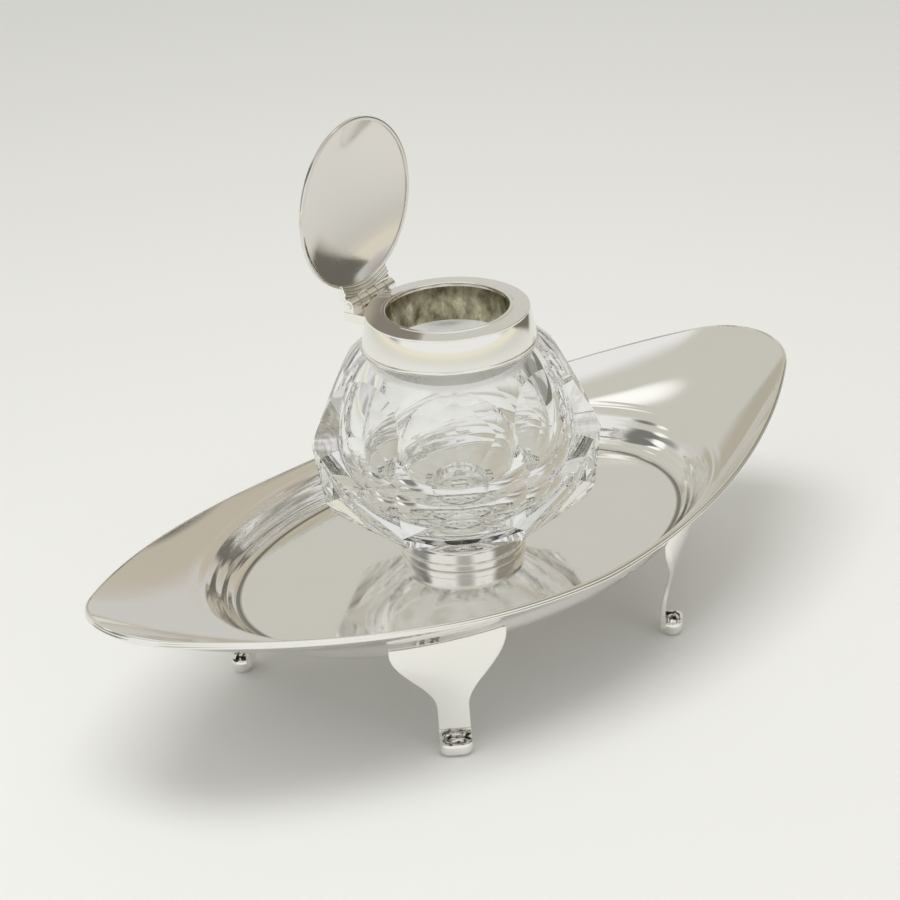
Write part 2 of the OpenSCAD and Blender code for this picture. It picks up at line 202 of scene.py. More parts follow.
def add_noise(tree, vector, **settings):
    node = add_node(tree, "ShaderNodeTexNoise", in_Scale=1.0, **settings)
    tree.links.new(vector, node.inputs["Vector"])
    return node.outputs["Fac"]


def add_bump(tree, height, strength, distance):
    node = add_node(tree, "ShaderNodeBump", in_Strength=strength, in_Distance=distance)
    tree.links.new(height, node.inputs["Height"])
    return node


# How fine the marks in the materials are, in marks per metre
CLOUDS = (60, 60, 60)
WIPES = (60, 1800, 900)
TARNISH_PATCHES = (260, 260, 160)
SCOOP_SHADE_PATCHES = (430, 430, 650)
PLASTER_GRAINS = (900, 900, 900)
GREASE = (90, 90, 90)


def silver(name, colour, rough, wipe_turn, dull):
    """Hand-polished silver: soft clouds of roughness and fine wipe marks."""
    material, tree, shader = new_material(name)
    shader.inputs["Metallic"].default_value = 1.0
    clouds = add_noise(tree, object_places(tree, CLOUDS), in_Detail=4.0, in_Roughness=0.6)
    wipes = add_noise(tree, object_places(tree, WIPES, (0, 0, wipe_turn)), in_Detail=3.0, in_Roughness=0.5)
    both = work_out(tree, "ADD", clouds, wipes)
    tree.links.new(ramp_between(tree, both, rough, rough + 0.06, 0.7, 1.3), shader.inputs["Roughness"])
    duller = tuple(c * (1 - dull) for c in colour)
    tree.links.new(mix_colours(tree, clouds, colour, duller), shader.inputs["Base Color"])
    tree.links.new(add_bump(tree, wipes, 0.02, 0.0001).outputs["Normal"], shader.inputs["Normal"])
    return material


def tarnished_silver(name):
    material, tree, shader = new_material(name)
    shader.inputs["Metallic"].default_value = 1.0
    patches = add_noise(tree, object_places(tree, TARNISH_PATCHES), in_Detail=6.0, in_Roughness=0.65)
    tint = colour_ramp(tree, patches, ((0.35, (0.16, 0.14, 0.085)), (0.7, (0.72, 0.68, 0.5))))
    tree.links.new(tint, shader.inputs["Base Color"])
    tree.links.new(ramp_between(tree, patches, 0.45, 0.2, 0.3, 0.7), shader.inputs["Roughness"])
    tree.links.new(add_bump(tree, patches, 0.5, 0.0004).outputs["Normal"], shader.inputs["Normal"])
    return material


# Places on the tray are told by how far out they are, in parts of the floor's edge
CREASE_SHADE_SPAN = (0.9, 1.1)
# Painted shade that darkens the crease: places along that span, and how strong it is there
CREASE_SHADE = ((0.40, 0.0), (0.47, 1.0), (0.51, 0.75), (0.535, 0.25), (0.60, 0.0))
CREASE_SHADE_COLOUR = (0.22, 0.21, 0.18)
# Where the uneven wall begins and ends, and how many waves it has round and up
WALL_BEGINS = (1.0, 1.04)
WALL_ENDS = (1.10, 1.20)
WAVES_ROUND = 1.6
WAVES_UP = 26.0


def paint_crease_shade_and_wall_waves(material):
    """Painted shade in the crease round the tray's floor, and a wall drawn a little unevenly."""
    tree = material.node_tree
    shader = next(n for n in tree.nodes if n.type == "BSDF_PRINCIPLED")
    plan = object_places(tree, (1000 / FLOOR[0], 1000 / FLOOR[1], 0))
    reach = length_of(tree, plan)
    # The crease's painted shade: a dark band mixed into the silver's colour
    stops = [(place, (grey, grey, grey)) for place, grey in CREASE_SHADE]
    line = colour_ramp(tree, ramp_between(tree, reach, 0.0, 1.0, *CREASE_SHADE_SPAN), stops)
    unshaded = shader.inputs["Base Color"].links[0].from_socket
    tree.links.new(mix_colours(tree, line, unshaded, CREASE_SHADE_COLOUR), shader.inputs["Base Color"])
    x, y, _ = split(tree, plan)
    turn = work_out(tree, "ARCTAN2", y, x)
    unrolled = flat_vector(
        tree, work_out(tree, "MULTIPLY", turn, WAVES_ROUND), work_out(tree, "MULTIPLY", reach, WAVES_UP))
    waves = add_noise(tree, unrolled, in_Detail=1.0, in_Roughness=0.4)
    begins = ramp_between(tree, reach, 0.0, 1.0, *WALL_BEGINS)
    wall = work_out(tree, "MULTIPLY", begins, ramp_between(tree, reach, 1.0, 0.0, *WALL_ENDS))
    _, _, facing_up = split(tree, add_node(tree, "ShaderNodeNewGeometry").outputs["True Normal"])
    upper = work_out(tree, "MULTIPLY", ramp_between(tree, facing_up, 0.0, 1.0, 0.0, 0.1), wall)
    bump = add_bump(tree, work_out(tree, "MULTIPLY", waves, upper), 0.5, 0.0016)
    wipes = shader.inputs["Normal"].links[0].from_node
    tree.links.new(bump.outputs["Normal"], wipes.inputs["Normal"])


def shaded_scoop_silver(name):
    """Silver in the toes' hollows with painted shade: nearly black in patches, plain bright silver between.
    """
    material, tree, shader = new_material(name)
    shader.inputs["Metallic"].default_value = 1.0
    shader.inputs["Roughness"].default_value = 0.12
    places = object_places(tree, SCOOP_SHADE_PATCHES)
    patches = add_noise(tree, places, in_Detail=2.0, in_Roughness=0.5, in_Distortion=1.2)
    # Painted shade: nearly black patches in the hollow, plain silver between
    tint = colour_ramp(tree, patches, ((0.43, (0.04, 0.04, 0.03)), (0.5, (0.93, 0.92, 0.9))))
    tree.links.new(tint, shader.inputs["Base Color"])
    return material


def plaster(name):
    material, tree, shader = new_material(name)
    grains = add_noise(tree, object_places(tree, PLASTER_GRAINS), in_Detail=5.0)
    tint = mix_colours(tree, grains, (0.72, 0.69, 0.58), (0.85, 0.82, 0.74))
    tree.links.new(tint, shader.inputs["Base Color"])
    shader.inputs["Roughness"].default_value = 0.85
    return material


def cut_glass(name):
    """Clear glass with a little grease on it; its neck and upper bore are ground."""
    material, tree, shader = new_material(name)
    shader.inputs["Transmission Weight"].default_value = 1.0
    shader.inputs["IOR"].default_value = 1.53
    shader.inputs["Base Color"].default_value = (0.985, 0.99, 0.985, 1)
    polish = add_noise(tree, object_places(tree, GREASE), in_Detail=3.0)
    greasy = ramp_between(tree, polish, 0.0, 0.012, 0.45, 0.75)
    x, y, height = split(tree, add_node(tree, "ShaderNodeTexCoord").outputs["Object"])
    # Metres here, as the shader sees them: just under the collar, and down the bore
    collar_z = low_of("collar_foot_bead").z * MM
    neck = ramp_between(tree, height, 0.0, 0.22, collar_z - 0.0001, collar_z - 0.00003)
    reach = length_of(tree, flat_vector(tree, x, y))
    inside = ramp_between(tree, reach, 0.5, 0.0, (BORE_R + 0.5) * MM, (BORE_R + 1.5) * MM)
    upper = ramp_between(tree, height, 0.0, 1.0, collar_z - 0.010, collar_z - 0.007)
    ground = work_out(tree, "MAXIMUM", work_out(tree, "MULTIPLY", inside, upper), neck)
    tree.links.new(work_out(tree, "ADD", greasy, ground), shader.inputs["Roughness"])
    return material


SILVER = silver("silver", (0.93, 0.92, 0.885), 0.055, 0.5, 0.02)
SILVER_TRAY = silver("silver_tray", (0.92, 0.905, 0.88), 0.05, 0.15, 0.04)
# The lid gets a darker copy of the silver: painted shade
SHADED_SILVER_LID = silver("silver_lid_painted_shade", (0.80, 0.775, 0.75), 0.06, 0.5, 0.03)
# Painted shade in the tray's crease, and its uneven wall
paint_crease_shade_and_wall_waves(SILVER_TRAY)
# Silver with painted shade for the toes' hollows
SCOOP_SHADED_SILVER = shaded_scoop_silver("silver_in_scoop")
TARNISH = tarnished_silver("tarnished_silver")
PLASTER = plaster("plaster")
GLASS = cut_glass("cut_glass")


# Small tools for meshes

def add_mesh(name, points, faces, body, nodes, slot, material, sharp=35.0):
    """Makes a closed, smooth-shaded piece, split at edges sharper than the angle."""
    mesh = bpy.data.meshes.new(name)
    mesh.from_pydata([Vector(p) * MM for p in points], [], faces)
    return place_mesh(name, mesh, body, nodes, material, sharp)


def place_mesh(name, mesh, body, nodes, material, sharp):
    """Cleans a mesh in metres and sets it on its body in place of its nodes."""
    work = bmesh.new()
    work.from_mesh(mesh)
    bmesh.ops.remove_doubles(work, verts=work.verts, dist=1e-7)
    bmesh.ops.recalc_face_normals(work, faces=work.faces)
    for face in work.faces:
        face.smooth = True
    work.to_mesh(mesh)
    work.free()
    mesh.set_sharp_from_angle(angle=math.radians(sharp))
    mesh.materials.append(material)
    piece = bpy.data.objects.new(name, mesh)
    bpy.context.collection.objects.link(piece)
    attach(piece, body)
    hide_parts(*nodes)
    return piece


def rounded(corners, radius, steps=4):
    """A closed outline with its corners rounded; a corner may bring its own radius."""
    out = []
    count = len(corners)
    for i, corner in enumerate(corners):
        here = Vector(corner[:2])
        own = corner[2] if len(corner) > 2 else radius
        before = Vector(corners[i - 1][:2]) - here
        after = Vector(corners[(i + 1) % count][:2]) - here
        if own <= 0:
            out.append(here)
            continue
        half = before.angle(after) / 2
        reach = min(own / math.tan(half), before.length * 0.49, after.length * 0.49)
        first = here + before.normalized() * reach
        last = here + after.normalized() * reach
        for k in range(steps + 1):
            t = k / steps
            out.append(first * (1 - t) ** 2 + here * 2 * t * (1 - t) + last * t * t)
    return out


def lathe_grid(outline, turns=192, closed=True):
    """Points and faces of an outline of (radius, height) turned round Z."""
    points = []
    for k in range(turns):
        a = TAU * k / turns
        points += [(r * math.cos(a), r * math.sin(a), z) for r, z in outline]
    n = len(outline)
    faces = []
    for k in range(turns):
        m = (k + 1) % turns
        for i in range(n if closed else n - 1):
            j = (i + 1) % n
            faces.append((k * n + i, m * n + i, m * n + j, k * n + j))
    return points, faces


# The tray, with the same outline and heights as the solid it stands for
HALF_L = 110.0
HALF_W = 51.6
TIP_R = 21.0
CREASE = (76.0, 49.5)
WALL_RISE = 8.0
SIDE_RISE = 1.25
TIP_RISE = 12.3
SHEET = 1.1
RISE_POWER = 1.65
RIM_FLARE = 0.45
SIDE_R = (HALF_L ** 2 + HALF_W ** 2 - 2 * HALF_L * TIP_R) / (2 * (HALF_W - TIP_R))
TIP_FROM = SIDE_R * (HALF_L - TIP_R) / (SIDE_R - TIP_R)
FLOOR_Z = low_of("ring_foot_bead").z
# Fine line scored where the floor ends, its width in parts of the wall
SCORE_WIDE = 0.04
SCORE_DEEP = 0.2
# How finely the tray is drawn, round and outwards
ROUND = 288
SCORE_STEPS = 4
WALL_STEPS = 26
RIM_STEPS = 26


def outline_y(x):
    a = abs(x)
    if a <= TIP_FROM:
        return math.sqrt(SIDE_R ** 2 - a * a) - (SIDE_R - HALF_W)
    return math.sqrt(max(0, TIP_R ** 2 - (a - (HALF_L - TIP_R)) ** 2))


def ring_places(t):
    """Plan places on the floor's edge, the crease and the rim's edge."""
    c, s = math.cos(t), math.sin(t)
    x = HALF_L * c
    edge = Vector((x, math.copysign(outline_y(x), s)))
    return Vector((FLOOR[0] * c, FLOOR[1] * s)), Vector((CREASE[0] * c, CREASE[1] * s)), edge


def edge_rise(t):
    return SIDE_RISE + TIP_RISE * abs(math.cos(t)) ** RISE_POWER


def face_point(plan, out, slope, z, under):
    """A place on the upper face, or square below it on the lower one."""
    if not under:
        return (plan.x, plan.y, FLOOR_Z + z)
    a = math.atan(slope)
    place = plan + out * SHEET * math.sin(a)
    return (place.x, place.y, FLOOR_Z + z - SHEET * math.cos(a))


def wall_point(t, s, under):
    floor, crease, edge = ring_places(t)
    run = (crease - floor).length
    start = edge_rise(t) * (1 - RIM_FLARE) / (edge - crease).length
    z = WALL_RISE * s * s * (3 - 2 * s) + start * run * (s ** 3 - s * s)
    slope = 6 * WALL_RISE * s * (1 - s) / run + start * (3 * s * s - 2 * s)
    if not under and s < SCORE_WIDE:
        z -= SCORE_DEEP * math.sin(math.pi * s / SCORE_WIDE)
    return face_point(floor.lerp(crease, s), (crease - floor).normalized(), slope, z, under)


def rim_point(t, u, under):
    floor, crease, edge = ring_places(t)
    rise = edge_rise(t)
    z = WALL_RISE + rise * ((1 - RIM_FLARE) * u + RIM_FLARE * u * u)
    slope = rise * (1 - RIM_FLARE + 2 * RIM_FLARE * u) / (edge - crease).length
    return face_point(crease.lerp(edge, u), (edge - crease).normalized(), slope, z, under)


def make_tray():
    stations = [(wall_point, i * SCORE_WIDE / SCORE_STEPS) for i in range(SCORE_STEPS + 3)]
    stations += [(wall_point, i / WALL_STEPS) for i in range(2, WALL_STEPS + 1)]
    stations += [(rim_point, i / RIM_STEPS) for i in range(1, RIM_STEPS + 1)]
    angles = [TAU * k / ROUND for k in range(ROUND)]
    rows = [[place(t, s, False) for t in angles] for place, s in stations]
    rows += [[place(t, s, True) for t in angles] for place, s in reversed(stations)]
    points = [p for row in rows for p in row]
    faces = []
    for i in range(len(rows) - 1):
        for k in range(ROUND):
            j = (k + 1) % ROUND
            faces.append((i * ROUND + k, i * ROUND + j, (i + 1) * ROUND + j, (i + 1) * ROUND + k))
    faces.append(tuple(range(ROUND)))
    last = (len(rows) - 1) * ROUND
    faces.append(tuple(last + k for k in range(ROUND)))
    add_mesh("tray_sheet", points, faces, "stand", ["tray"], "silver", SILVER_TRAY, 50)


WIRE_R = 0.75
WIRE_HIGH = 0.85
WIRE_STEPS = 14
# The groove's depth, and its width as an angle on the wire
GROOVE = 0.22
GROOVE_WIDE = 0.22


def make_edge_wire():
    """Half-round wire on the edge, with a fine groove along its middle."""
    points = []
    for k in range(ROUND):
        t = TAU * k / ROUND
        a = Vector(rim_point(t, 1, False))
        b = Vector(rim_point(t, 1, True))
        middle = (a + b) / 2
        out = Vector((HALF_W * math.cos(t), HALF_L * math.sin(t), 0)).normalized()
        lean = (b - a).to_2d() / 2
        points.append(a)
        for i in range(WIRE_STEPS + 1):
            g = math.pi / 2 - math.pi * i / WIRE_STEPS
            dip = GROOVE * math.exp(-(g / GROOVE_WIDE) ** 2)
            side = lean * -math.sin(g)
            reach = WIRE_R * math.cos(g) - dip
            points.append(middle + out * reach + Vector((side.x, side.y, WIRE_HIGH * math.sin(g))))
        points.append(b)
    n = WIRE_STEPS + 3
    faces = []
    for k in range(ROUND):
        m = (k + 1) % ROUND
        for i in range(n):
            j = (i + 1) % n
            faces.append((k * n + i, m * n + i, m * n + j, k * n + j))
    add_mesh("edge_wire", points, faces, "stand", ["tray_edge_wire"], "silver", SILVER, 60)


# Gallery ring
RING_WALL = 0.9


def make_ring():
    bead_low, bead_high = low_of("ring_foot_bead"), high_of("ring_foot_bead")
    band_low, band_high = low_of("ring_band"), high_of("ring_band")
    out = band_high.x
    inner = out - RING_WALL
    bead = rounded([
        (inner, bead_low.z, 0.05), (bead_high.x, bead_low.z, 0.5), (bead_high.x, bead_high.z - 0.1, 0.8),
        (out + 0.05, bead_high.z, 0.1), (inner, bead_high.z, 0.05)], 0.1, 6)
    add_mesh("ring_bead", *lathe_grid(bead), "stand", ["ring_foot_bead"], "silver", SILVER, 40)
    band = rounded([
        (inner, band_low.z, 0.04), (out, band_low.z, 0.04), (out - 0.12, band_high.z - 0.9, 1.2),
        (out + 0.1, band_high.z, 0.3), (inner, band_high.z, 0.2)], 0.1, 6)
    add_mesh("ring_wall", *lathe_grid(band), "stand", ["ring_band"], "silver", SILVER, 40)


# Legs: a strap that hugs the wall, narrows to its ankle and twists a little
TOE_TURN = math.radians(50)
LEG_TOP_W = 27.2
ANKLE_W = 7.8
STRAP = 1.2
ANKLE_H = 6.0
TOE_R = 2.75
# How far up the tray's wall the strap's top lies, in parts of the wall
LEG_HUG = 0.34
# Where down the strap it starts to narrow and over how much of it, in parts of its height
OGEE_FROM = 0.05
OGEE_RUN = 0.7
SOLDER = 0.06
STRAP_SOFT = 0.22
LEG_ROWS = 40
LEG_COLUMNS = 28
TOE_SPOTS = {
    "front_left": (-38.3, -36.4), "front_right": (40.5, -33.0),
    "back_left": (-45.5, 36.0), "back_right": (42.0, 34.0)}


def smooth_step(a):
    b = min(1.0, max(0.0, a))
    return b * b * (3 - 2 * b)


def toe_axes(spot):
    x, y = spot
    out = Vector((math.copysign(math.cos(TOE_TURN), x), math.copysign(math.sin(TOE_TURN), y), 0))
    return out, Vector((-out.y, out.x, 0))


def leg_point(spot, u, k, depth):
    """A place on the strap: u across it from -1 to 1, k down it from 0 to 1, and its depth outwards."""
    half = (LEG_TOP_W + (ANKLE_W - LEG_TOP_W) * smooth_step((k - OGEE_FROM) / OGEE_RUN)) / 2
    x = u * half
    t = math.atan2(spot[1] / FLOOR[1], spot[0] / FLOOR[0])
    speed = math.hypot(FLOOR[0] * math.sin(t), FLOOR[1] * math.cos(t))
    a = t + x / speed
    floor, crease, _ = ring_places(a)
    out_plan = (crease - floor).normalized() * SOLDER
    top = Vector(wall_point(a, LEG_HUG + depth / (crease - floor).length, True))
    top += Vector((out_plan.x, out_plan.y, -SOLDER))
    out, across = toe_axes(spot)
    low = Vector((spot[0], spot[1], ANKLE_H)) - out * (TOE_R - depth) + across * x
    place = top.lerp(low, smooth_step(k))
    return Vector((place.x, place.y, top.z + (low.z - top.z) * k))


def make_leg(name, spot):
    m = LEG_COLUMNS + 1
    rows = LEG_ROWS + 1
    points = [leg_point(spot, 2 * c / LEG_COLUMNS - 1, r / LEG_ROWS, depth)
              for depth in (0, STRAP) for r in range(rows) for c in range(m)]
    count = rows * m
    faces = []
    for r in range(LEG_ROWS):
        for c in range(LEG_COLUMNS):
            a = r * m + c
            faces.append((a, a + 1, a + m + 1, a + m))
            faces.append((count + a, count + a + m, count + a + m + 1, count + a + 1))
    loop = list(range(LEG_COLUMNS))
    loop += [r * m + LEG_COLUMNS for r in range(LEG_ROWS)]
    loop += [LEG_ROWS * m + c for c in range(LEG_COLUMNS, 0, -1)]
    loop += [r * m for r in range(LEG_ROWS, 0, -1)]
    for i, a in enumerate(loop):
        b = loop[(i + 1) % len(loop)]
        faces.append((a, b, b + count, a + count))
    piece = add_mesh(f"leg_{name}_strap", points, faces, "stand", [f"leg_{name}"], "silver", SILVER, 50)
    soften(piece, STRAP_SOFT)


# Toes: thin scoops, open above, that turn up into a plate behind
TOE_WALL = 0.7
TOE_W = 8.5
TOE_FLAT = 0.15
TOE_LIP = 24.0
TOE_SOFT = 0.16
# Far enough from the toe's middle to be outside it
BEYOND_TOE = 9


def capsule(name, radius, reach):
    """A rod along Y with round ends."""
    rod = solid_turned(name, half_circle(radius, 32), 64)
    for vert in rod.data.vertices:
        x, y, z = vert.co
        stretched = z + math.copysign(reach, z) if abs(z) > 1e-4 else 0
        vert.co = (x, stretched, -y)
    return rod


def block(name, low, high):
    corners = list(itertools.product(*zip(low, high)))
    faces = [(0, 1, 3, 2), (4, 6, 7, 5), (0, 4, 5, 1), (2, 3, 7, 6), (0, 2, 6, 4), (1, 5, 7, 3)]
    return mesh_object(name, corners, faces)


def make_toe(name, spot):
    reach = TOE_W / 2 - TOE_R
    centre = TOE_R - TOE_FLAT
    back, front = -TOE_R, -TOE_R + STRAP
    side = ANKLE_W / 2
    far = BEYOND_TOE
    lip = TOE_R * math.sin(math.radians(TOE_LIP))
    toe = capsule("toe", TOE_R, reach)
    combine(toe, block("plate", (back, -side, 0), (front, side, ANKLE_H - centre)), "UNION")
    combine(toe, capsule("scoop", TOE_R - TOE_WALL, reach), "DIFFERENCE")
    combine(toe, block("above", (front, -TOE_W, lip), (3 * TOE_R, TOE_W, far)), "DIFFERENCE")
    combine(toe, block("behind", (2 * back, side, lip), (front + 1, TOE_W, far)), "DIFFERENCE")
    combine(toe, block("beside", (2 * back, -TOE_W, lip), (front + 1, -side, far)), "DIFFERENCE")
    combine(toe, block("below", (-far, -far, -far), (far, far, -centre)), "DIFFERENCE")
    mesh = toe.data
    bpy.data.objects.remove(toe)
    out, across = toe_axes(spot)
    turn = Matrix((out, across, Vector((0, 0, 1)))).transposed().to_4x4()
    if turn.determinant() < 0:
        turn = Matrix((out, -across, Vector((0, 0, 1)))).transposed().to_4x4()
    mesh.transform(Matrix.Scale(MM, 4) @ Matrix.Translation((spot[0], spot[1], centre)) @ turn)
    mesh.materials.clear()
    piece = place_mesh(f"toe_{name}_scoop", mesh, "stand", [f"toe_{name}"], SILVER, 40)
    # The hollow of the scoop gets the silver with painted shade, dark in patches
    piece.data.materials.append(SCOOP_SHADED_SILVER)
    spot_up = Vector((spot[0], spot[1], centre))
    for polygon in piece.data.polygons:
        place = polygon.center / MM - spot_up
        aside = max(0, abs(place.dot(across)) - reach)
        if math.sqrt(place.dot(out) ** 2 + place.z ** 2 + aside ** 2) < TOE_R - TOE_WALL + 0.04:
            polygon.material_index = 1
    soften(piece, TOE_SOFT)


def soften(piece, width):
    bevel = piece.modifiers.new("soft_edges", "BEVEL")
    bevel.width = width * MM
    bevel.segments = 2
    bevel.limit_method = "ANGLE"
    bevel.angle_limit = math.radians(50)
    bevel.harden_normals = False


# Faceted globe; GLOBE_H is its centre above its foot
GLOBE_R = 37.0
GLOBE_H = 26.103
FACET_TURN = math.radians(229.6)
# Tilt and depth of the cuts, how many go round, and their offset in parts of one cut
ROWS_OF_CUTS = [(21.5, 3.4, 7, 0), (-8, 2.8, 14, 0.5), (-28, 5.9, 7, 0), (-59.5, 12.3, 7, 0)]
FOOT_R = 13.9
FOOT_JOIN = 3.95
# The hollow is widest a little above the centre, and its lower and upper halves are ovals
HOLLOW_R = 23.0
HOLLOW_LOW = 15.84
HOLLOW_HIGH = 27.0
HOLLOW_UP = 3.5
HOLLOW_FLOOR = 14.5
NECK_R = 18.3
COLLAR_LOW_R = 21.7
CURVE_STEPS = 96
GLASS_TURNS = 192


def mesh_object(name, points, faces):
    mesh = bpy.data.meshes.new(name)
    mesh.from_pydata([Vector(p) for p in points], [], faces)
    work = bmesh.new()
    work.from_mesh(mesh)
    bmesh.ops.remove_doubles(work, verts=work.verts, dist=1e-4)
    bmesh.ops.recalc_face_normals(work, faces=work.faces)
    work.to_mesh(mesh)
    work.free()
    scratch = bpy.data.objects.new(name, mesh)
    bpy.context.collection.objects.link(scratch)
    return scratch


def combine(base, other, operation):
    """Joins or subtracts a scratch object in place and removes it."""
    change = base.modifiers.new("change", "BOOLEAN")
    change.operation = operation
    change.solver = "EXACT"
    change.object = other
    shape = base.evaluated_get(bpy.context.evaluated_depsgraph_get())
    mesh = bpy.data.meshes.new_from_object(shape)
    base.modifiers.clear()
    base.data = mesh
    bpy.data.objects.remove(other)


def solid_turned(name, outline, turns=160):
    """A closed solid of an open outline that starts and ends on the axis."""
    return mesh_object(name, *lathe_grid(outline, turns, closed=False))


def arc(centre, radius, start, end, steps):
    angles = [math.radians(start + (end - start) * i / steps) for i in range(steps + 1)]
    return [(centre[0] + radius * math.cos(a), centre[1] + radius * math.sin(a)) for a in angles]


def half_circle(radius, steps):
    """From the lowest point to the highest, both right on the axis."""
    outline = arc((0, 0), radius, -90, 90, steps)
    outline[0], outline[-1] = (0, -radius), (0, radius)
    return outline


def hollow_outline(middle, floor, top):
    """The ink's room: a flat floor, an oval that is flatter below, and the bore."""
    start = -math.asin((middle - floor) / HOLLOW_LOW)
    end = math.acos(BORE_R / HOLLOW_R)
    line = [(0, floor)]
    for i in range(CURVE_STEPS + 1):
        t = start + (end - start) * i / CURVE_STEPS
        high = HOLLOW_LOW if t < 0 else HOLLOW_HIGH
        line.append((HOLLOW_R * math.cos(t), middle + high * math.sin(t)))
    return line + [(BORE_R, top), (0, top)]


def make_glass():
    foot_z = low_of("glass_well").z
    centre = foot_z + GLOBE_H
    shoulder = centre + math.sqrt(GLOBE_R ** 2 - (COLLAR_LOW_R + 0.2) ** 2)
    neck_top = high_of("glass_well").z
    globe = solid_turned("globe", half_circle(GLOBE_R, CURVE_STEPS), GLASS_TURNS)
    work = bmesh.new()
    work.from_mesh(globe.data)
    planes = [(Vector((0, 0, shoulder - centre)), Vector((0, 0, 1))),
              (Vector((0, 0, -GLOBE_H + FOOT_JOIN)), Vector((0, 0, -1)))]
    for tilt, depth, count, offset in ROWS_OF_CUTS:
        for i in range(count):
            # The cuts' turn counts from +X, a quarter turn on from where azimuths start
            azimuth = FACET_TURN + (i + offset) * TAU / count + TAU / 4
            normal = direction(azimuth, math.radians(tilt))
            planes.append((normal * (GLOBE_R - depth), normal))
    for place, normal in planes:
        cut = bmesh.ops.bisect_plane(
            work, geom=work.verts[:] + work.edges[:] + work.faces[:],
            plane_co=place, plane_no=normal, clear_outer=True, dist=1e-5)
        edges = [e for e in cut["geom_cut"] if isinstance(e, bmesh.types.BMEdge) and e.is_boundary]
        bmesh.ops.holes_fill(work, edges=edges, sides=0)
    bmesh.ops.translate(work, verts=work.verts, vec=(0, 0, centre))
    work.to_mesh(globe.data)
    work.free()
    foot = solid_turned("foot", [
        (0, foot_z), (FOOT_R - 0.4, foot_z), (FOOT_R, foot_z + 0.4),
        (FOOT_R, foot_z + FOOT_JOIN + 3), (0, foot_z + FOOT_JOIN + 3)])
    combine(globe, foot, "UNION")
    neck = solid_turned("neck", [
        (0, shoulder - 1), (NECK_R, shoulder - 1), (NECK_R, neck_top - 0.3),
        (NECK_R - 0.3, neck_top), (0, neck_top)])
    combine(globe, neck, "UNION")
    hollow_line = hollow_outline(centre + HOLLOW_UP, foot_z + HOLLOW_FLOOR, neck_top + 5)
    combine(globe, solid_turned("hollow", hollow_line, GLASS_TURNS), "DIFFERENCE")
    mesh = globe.data
    bpy.data.objects.remove(globe)
    mesh.transform(Matrix.Scale(MM, 4))
    mesh.materials.clear()
    place_mesh("glass_globe", mesh, "inkwell", ["glass_well"], GLASS, 9)


# Collar: bead, tapered band, top plate with a rolled lip, liner
COLLAR_WALL = 0.8
LINER_WALL = 0.6
LIP = 0.5
COLLAR_TURNS = 256


def make_collar():
    bead_low, bead_high = low_of("collar_foot_bead"), high_of("collar_foot_bead")
    band_low, band_high = low_of("collar_band"), high_of("collar_band")
    plate_low, plate_high = low_of("collar_top_plate"), high_of("collar_top_plate")
    liner_low, liner_high = low_of("collar_liner"), high_of("collar_liner")
    bead = rounded([
        (NECK_R + 1, bead_low.z, 0.05), (bead_high.x, bead_low.z, 0.45),
        (bead_high.x, bead_high.z, 0.45), (NECK_R + 1, bead_high.z, 0.05)], 0.1, 8)
    add_mesh("collar_bead", *lathe_grid(bead), "inkwell", ["collar_foot_bead"], "silver", SILVER, 40)
    top_r = plate_high.x
    band = rounded([
        (band_high.x - COLLAR_WALL, band_low.z, 0.03), (band_high.x, band_low.z, 0.05),
        (top_r, band_high.z, 0.03), (top_r - COLLAR_WALL, band_high.z, 0.03)], 0.05, 3)
    grid = lathe_grid(band, COLLAR_TURNS)
    add_mesh("collar_wall", *grid, "inkwell", ["collar_band"], "silver", SILVER, 40)
    mouth = liner_high.x - LINER_WALL
    flat = plate_high.z - LIP_PROUD
    plate = rounded([
        (mouth, plate_low.z, 0.02), (top_r, plate_low.z, 0.03), (top_r, flat - 0.3, 0.2),
        (mouth + 2 * LIP + 0.15, flat, 0.2), (mouth + 1.7 * LIP, plate_high.z, 0.3),
        (mouth, plate_high.z, 0.35)], 0.1, 6)
    grid = lathe_grid(plate, COLLAR_TURNS)
    add_mesh("collar_plate", *grid, "inkwell", ["collar_top_plate"], "silver", SILVER, 40)
    liner = rounded([
        (mouth, liner_low.z), (mouth + LINER_WALL, liner_low.z),
        (mouth + LINER_WALL, liner_high.z), (mouth, liner_high.z)], 0.08, 3)
    grid = lathe_grid(liner)
    add_mesh("mouth_liner", *grid, "inkwell", ["collar_liner"], "tarnished_silver", TARNISH, 40)


# Lid, modelled closed and then turned about its pin to where it stands open
LID_R = 21.5
LID_RISE = 3.5
LID_WALL = 0.8
LID_RIM_H = 1.0
LID_RIM_W = 1.0
LID_GAP = 0.4
# How far the collar's lip stands above its plate
LIP_PROUD = 0.25


def opening():
    """Turns a point of the closed lid to its place on the open lid, in millimetres."""
    joint = next(j for j in frame["joints"] if j["name"] == "lid_hinge")
    place = Vector(joint["pos_m"]) / MM
    turn = Matrix.Rotation(math.radians(-90), 4, Vector(joint["axis"]))
    return Matrix.Translation(place) @ turn @ Matrix.Translation(-place)


